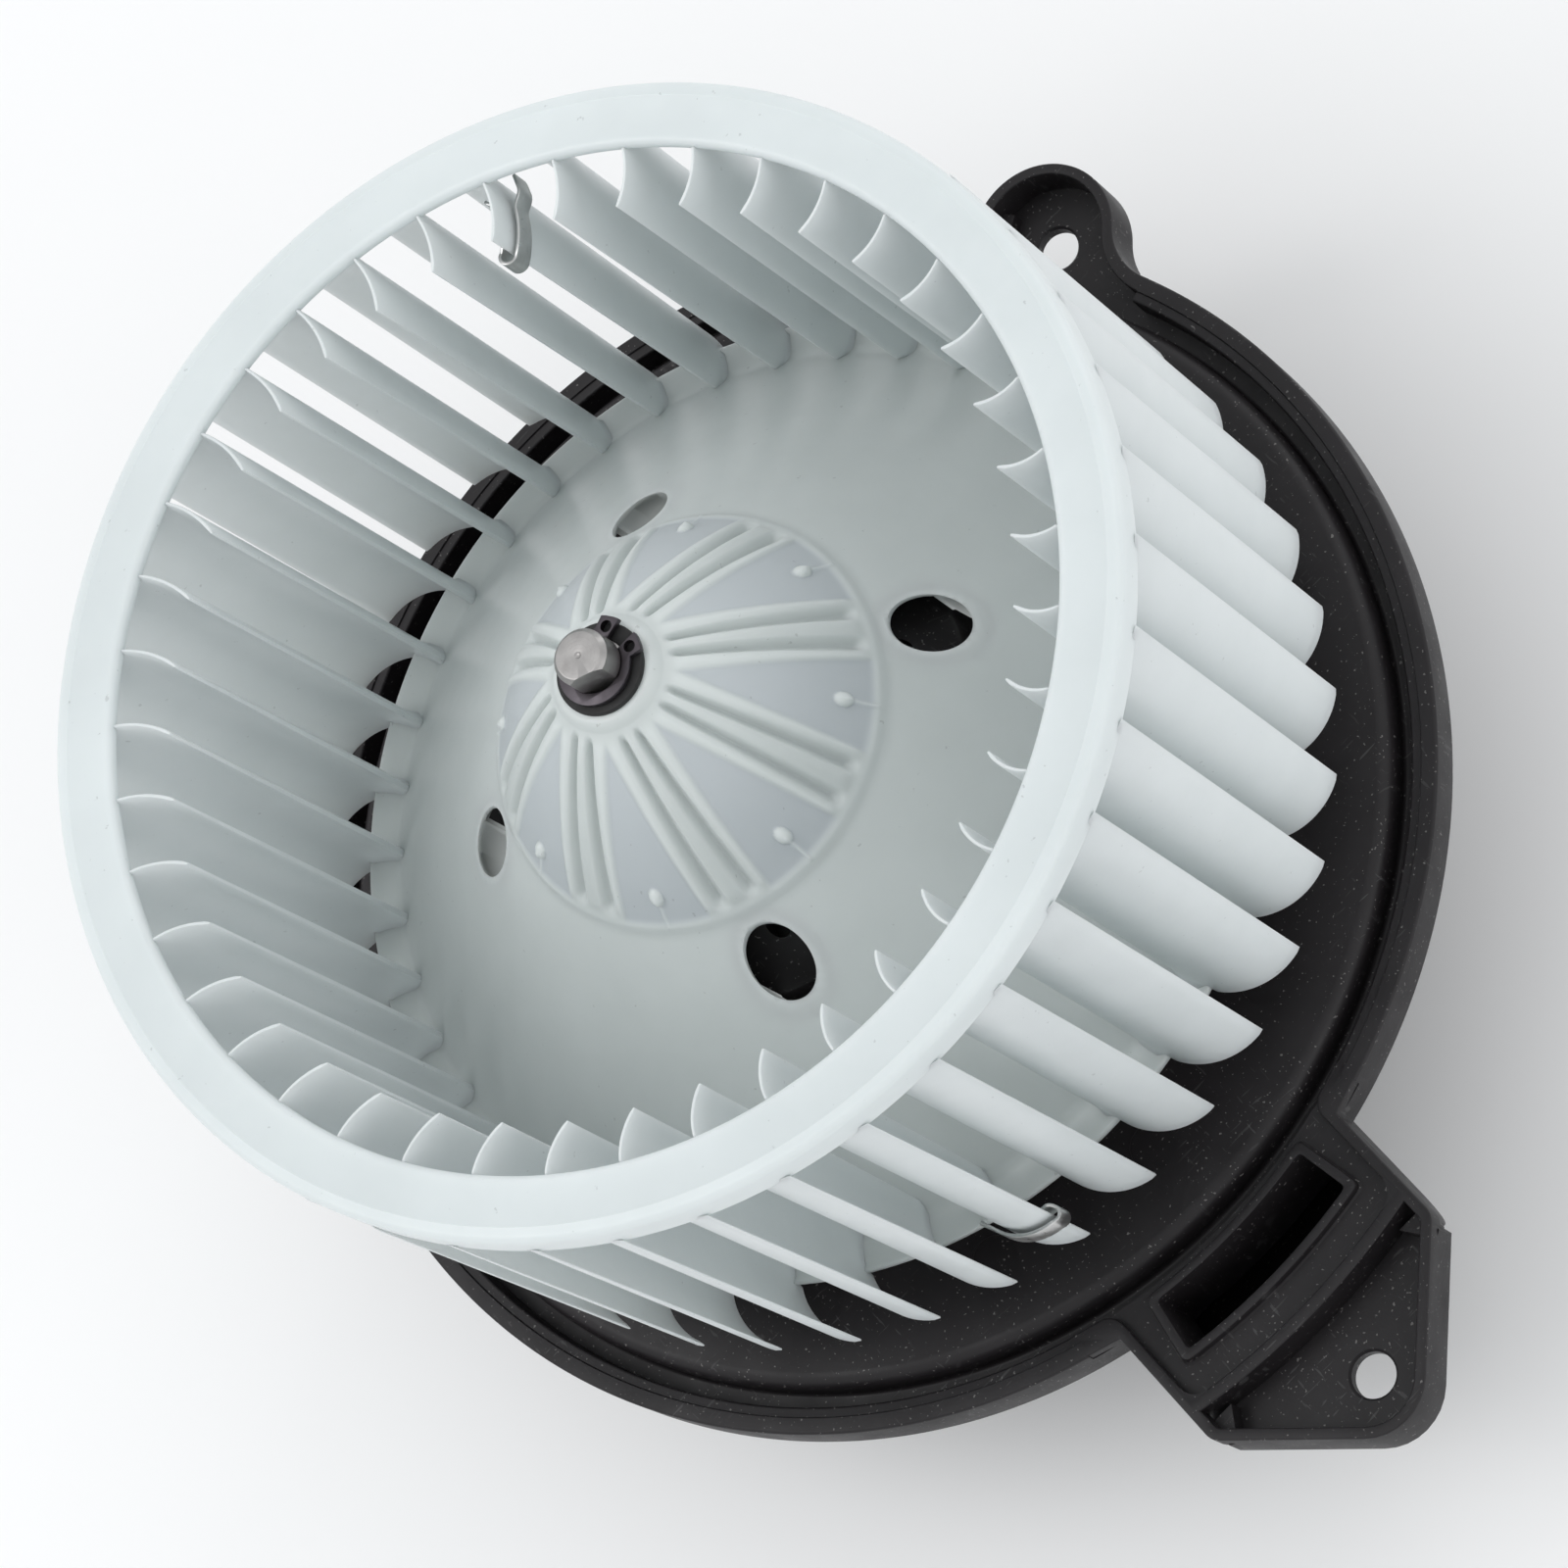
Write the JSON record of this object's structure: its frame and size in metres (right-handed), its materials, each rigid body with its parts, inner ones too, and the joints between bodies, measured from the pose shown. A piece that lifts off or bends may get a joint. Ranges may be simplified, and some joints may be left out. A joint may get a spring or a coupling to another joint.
{
  "type": "blower motor wheel",
  "caption": "Heater blower motor with a forward-curved centrifugal wheel on its shaft, held in a round mounting flange with three screw ears, a cooling air duct and a blade connector.",
  "frame": {"origin": "on the shaft axis, in the plane of the flange rim's top face, which seats against the heater case", "axes": "+Z along the shaft towards the wheel's air inlet; -Y towards the flange's long ear with the cooling port; +Y towards the connector; +X to the right seen from above with -Y towards the viewer"},
  "size_m": [0.1824, 0.2158, 0.1374],
  "materials": {
    "flange_housing": "fine matte, moulded",
    "rear_cover": "fine matte, moulded",
    "cooling_duct": "fine matte, moulded",
    "duct_screws": "zinc plated, satin",
    "cover_screws": "zinc plated, satin",
    "upper_damper": "matte",
    "lower_damper": "matte",
    "motor_can": "zinc plated, satin",
    "end_plate": "zinc plated, satin",
    "magnets": "sintered ferrite, dull",
    "magnet_springs": "spring steel",
    "front_bearing": "oil-soaked sintered bronze",
    "rear_bearing": "oil-soaked sintered bronze",
    "front_bearing_retainer": "spring steel",
    "rear_bearing_retainer": "spring steel",
    "brush_card": "phenolic, dull",
    "brush_card_screws": "zinc plated, satin",
    "brush_holders": "pressed strip",
    "brush_spring_a": "spring wire",
    "brush_spring_b": "spring wire",
    "brush_a": "copper-graphite, dull",
    "brush_b": "copper-graphite, dull",
    "choke_coils": "enamelled copper wire",
    "choke_cores": "ferrite rod",
    "capacitor": "dipped resin",
    "connector_shell": "moulded",
    "terminals": "tin plated",
    "motor_shaft": "turned and ground",
    "armature_core": "stacked laminations, varnished",
    "armature_winding": "enamelled copper wire",
    "commutator_bars": "turned copper",
    "commutator_hub": "phenolic",
    "thrust_washers": "oiled fibre",
    "oil_slinger": "matte",
    "stop_ring": "blackened spring steel",
    "wheel_hub": "natural translucent, satin",
    "wheel_blades": "natural translucent, satin",
    "wheel_ring": "natural translucent, satin",
    "balance_clips": "spring steel",
    "hub_washer": "matte",
    "retaining_ring": "spring steel"
  },
  "bodies": {
    "housing": {"flange_housing": "flange_housing", "rear_cover": "rear_cover", "cooling_duct": "cooling_duct", "duct_screws": "duct_screws", "cover_screws": "cover_screws", "upper_damper": "upper_damper", "lower_damper": "lower_damper", "motor_can": "motor_can", "end_plate": "end_plate", "magnets": "magnets", "magnet_springs": "magnet_springs", "front_bearing": "front_bearing", "rear_bearing": "rear_bearing", "front_bearing_retainer": "front_bearing_retainer", "rear_bearing_retainer": "rear_bearing_retainer", "brush_card": "brush_card", "brush_card_screws": "brush_card_screws", "brush_holders": "brush_holders", "brush_spring_a": "brush_spring_a", "brush_spring_b": "brush_spring_b", "choke_coils": "choke_coils", "choke_cores": "choke_cores", "capacitor": "capacitor", "connector_shell": "connector_shell", "terminals": "terminals"},
    "rotor": {"motor_shaft": "motor_shaft", "armature_core": "armature_core", "armature_winding": "armature_winding", "commutator_bars": "commutator_bars", "commutator_hub": "commutator_hub", "thrust_washers": "thrust_washers", "oil_slinger": "oil_slinger", "stop_ring": "stop_ring", "wheel_hub": "wheel_hub", "wheel_blades": "wheel_blades", "wheel_ring": "wheel_ring", "balance_clips": "balance_clips", "hub_washer": "hub_washer", "retaining_ring": "retaining_ring"},
    "brush_a": {"brush_a": "brush_a"},
    "brush_b": {"brush_b": "brush_b"}
  },
  "joints": [
    {"name": "wheel_spin", "type": "hinge", "parent": "housing", "child": "rotor", "pos_m": [0, 0, 0], "axis": [0, 0, 1], "continuous": true},
    {"name": "brush_a_slide", "type": "slide", "parent": "housing", "child": "brush_a", "axis": [1, 0, 0], "range_m": [0, 0.002], "stiffness_N_per_m": 180, "springref_m": -0.004, "deforming": ["brush_spring_a"]},
    {"name": "brush_b_slide", "type": "slide", "parent": "housing", "child": "brush_b", "axis": [-1, 0, 0], "range_m": [0, 0.002], "stiffness_N_per_m": 180, "springref_m": -0.004, "deforming": ["brush_spring_b"]}
  ]
}
